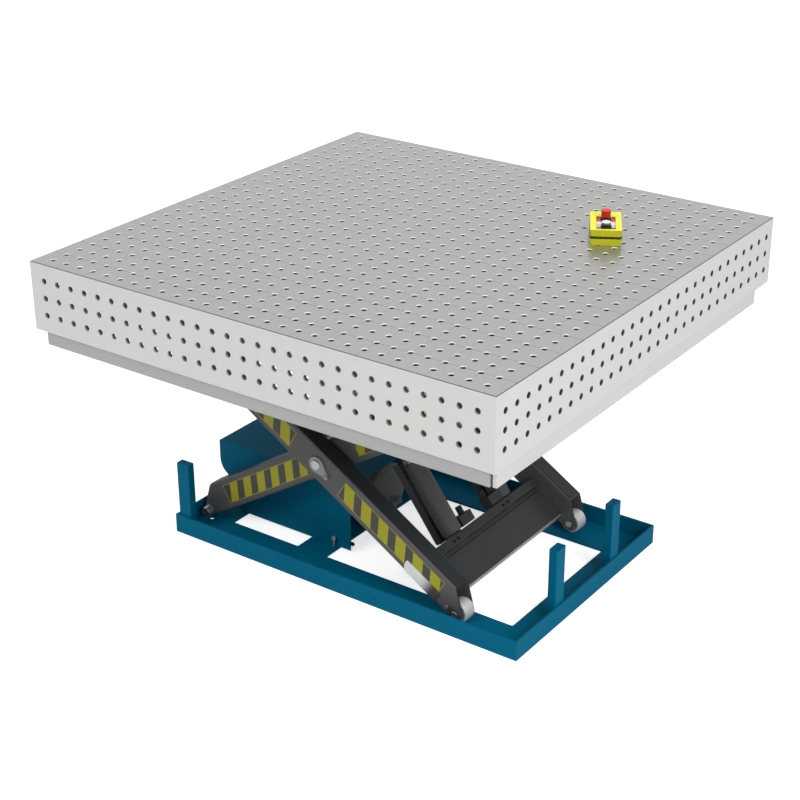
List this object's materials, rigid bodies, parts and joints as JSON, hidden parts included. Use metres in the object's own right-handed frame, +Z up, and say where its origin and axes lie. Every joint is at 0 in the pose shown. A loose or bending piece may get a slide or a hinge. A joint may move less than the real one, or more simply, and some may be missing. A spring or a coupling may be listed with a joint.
{
  "type": "height adjustable welding table",
  "caption": "Perforated steel welding table carried by a hydraulic scissor lift in a low steel base frame, with a hand control that lifts off the table top.",
  "frame": {"origin": "on the floor, under the middle of the table top", "axes": "+X along the base towards the roller ends of the arms, +Y to the rear, +Z up"},
  "size_m": [1.5, 1.48, 1.03],
  "materials": {
    "teal_paint": "satin paint",
    "dark_paint": "satin paint",
    "black_paint": "satin paint",
    "grey_paint": "satin paint",
    "table_steel": "ground",
    "frame_steel": "satin paint",
    "bright_steel": "turned",
    "washer_bronze": "plain",
    "zinc_plate": "zinc plated",
    "rod_chrome": "polished",
    "yellow_plastic": "moulded",
    "black_plastic": "moulded",
    "panel_label": "printed",
    "red_plastic": "moulded",
    "white_plastic": "moulded"
  },
  "bodies": {
    "base": {"front_rail": "teal_paint", "rear_rail": "teal_paint", "left_rail": "teal_paint", "right_rail": "teal_paint", "cross_member": "teal_paint", "support_posts": "teal_paint", "anchor_lugs": "teal_paint", "anchor_pins": "bright_steel", "power_hood": "teal_paint", "oil_tank": "grey_paint", "electric_motor": "black_paint", "pump_block": "black_paint", "hood_bolts": "bright_steel"},
    "inner_arms": {"inner_arm_front": "dark_paint", "inner_arm_rear": "dark_paint", "torsion_tube": "dark_paint", "ram_levers": "dark_paint", "head_tube": "dark_paint", "upper_axles": "bright_steel"},
    "upper_wheel_front": {"upper_roller_front": "bright_steel"},
    "upper_wheel_rear": {"upper_roller_rear": "bright_steel"},
    "outer_arms": {"outer_arm_front": "dark_paint", "outer_arm_rear": "dark_paint", "cross_beam": "dark_paint", "ram_shaft": "bright_steel", "lower_axles": "bright_steel", "centre_pins": "bright_steel", "centre_washers": "washer_bronze", "retainer_plates": "bright_steel", "retainer_screws": "bright_steel", "arm_guards": "zinc_plate"},
    "lower_wheel_front": {"lower_roller_front": "bright_steel"},
    "lower_wheel_rear": {"lower_roller_rear": "bright_steel"},
    "ram_barrels": {"ram_barrel_front": "black_paint", "ram_barrel_rear": "black_paint", "ram_glands": "bright_steel", "guide_bars": "black_paint", "valve_blocks": "black_paint"},
    "ram_rods": {"ram_rod_front": "rod_chrome", "ram_rod_rear": "rod_chrome", "rod_pins": "bright_steel"},
    "platform": {"top_plate": "table_steel", "front_skirt": "table_steel", "rear_skirt": "table_steel", "left_skirt": "table_steel", "right_skirt": "table_steel", "long_ribs": "table_steel", "cross_ribs": "table_steel", "edge_strips": "frame_steel", "rest_bars": "frame_steel", "roller_tracks": "frame_steel", "platform_lugs": "dark_paint", "platform_pins": "bright_steel"},
    "control_box": {"control_base": "yellow_plastic", "control_lid": "yellow_plastic", "control_seal": "black_plastic", "control_panel": "panel_label", "button_collars": "black_plastic"},
    "stop_knob": {"stop_button": "red_plastic"},
    "lift_knob": {"lift_button": "white_plastic"}
  },
  "joints": [
    {"name": "lift", "type": "hinge", "parent": "base", "child": "inner_arms", "pos_m": [-0.57, 0, 0.0387], "axis": [0, -1, 0], "range_deg": [-26.09, 10.79]},
    {"name": "scissor_pivot", "type": "hinge", "parent": "inner_arms", "child": "outer_arms", "pos_m": [-0.09518, 0, 0.363], "axis": [0, -1, 0], "range_deg": [-21.67, 52.28]},
    {"name": "platform_pivot", "type": "hinge", "parent": "outer_arms", "child": "platform", "pos_m": [-0.57, 0, 0.6873], "axis": [0, -1, 0], "range_deg": [-26.19, 10.89]},
    {"name": "lower_front_spin", "type": "hinge", "parent": "outer_arms", "child": "lower_wheel_front", "pos_m": [0.37964, -0.308, 0.0387], "axis": [0, 1, 0], "continuous": true},
    {"name": "lower_rear_spin", "type": "hinge", "parent": "outer_arms", "child": "lower_wheel_rear", "pos_m": [0.37964, 0.308, 0.0387], "axis": [0, 1, 0], "continuous": true},
    {"name": "upper_front_spin", "type": "hinge", "parent": "inner_arms", "child": "upper_wheel_front", "pos_m": [0.37964, -0.242, 0.6873], "axis": [0, 1, 0], "continuous": true},
    {"name": "upper_rear_spin", "type": "hinge", "parent": "inner_arms", "child": "upper_wheel_rear", "pos_m": [0.37964, 0.242, 0.6873], "axis": [0, 1, 0], "continuous": true},
    {"name": "ram_swing", "type": "hinge", "parent": "outer_arms", "child": "ram_barrels", "pos_m": [0.24298, 0, 0.13416], "axis": [0, -1, 0], "range_deg": [-5.67, 2.4]},
    {"name": "ram_stroke", "type": "slide", "parent": "ram_barrels", "child": "ram_rods", "axis": [-0.5925, 0, 0.8055], "range_m": [-0.13409, 0.05574]},
    {"name": "control_lift_off", "type": "slide", "parent": "platform", "child": "control_box", "axis": [0, 0, 1], "range_m": [0, 0.1]},
    {"name": "stop_press", "type": "slide", "parent": "control_box", "child": "stop_knob", "axis": [0, 0, -1], "range_m": [0, 0.004], "stiffness_N_per_m": 800, "springref_m": -0.002},
    {"name": "lift_press", "type": "slide", "parent": "control_box", "child": "lift_knob", "axis": [0, 0, -1], "range_m": [0, 0.003], "stiffness_N_per_m": 600, "springref_m": -0.002}
  ],
  "couplings": [
    {"joint": "scissor_pivot", "follows": "lift", "ratio": -2},
    {"joint": "platform_pivot", "follows": "lift", "ratio": 1},
    {"joint": "ram_swing", "follows": "lift", "ratio": 0.21343},
    {"joint": "ram_stroke", "follows": "lift", "m_per_rad": 0.29339}
  ]
}
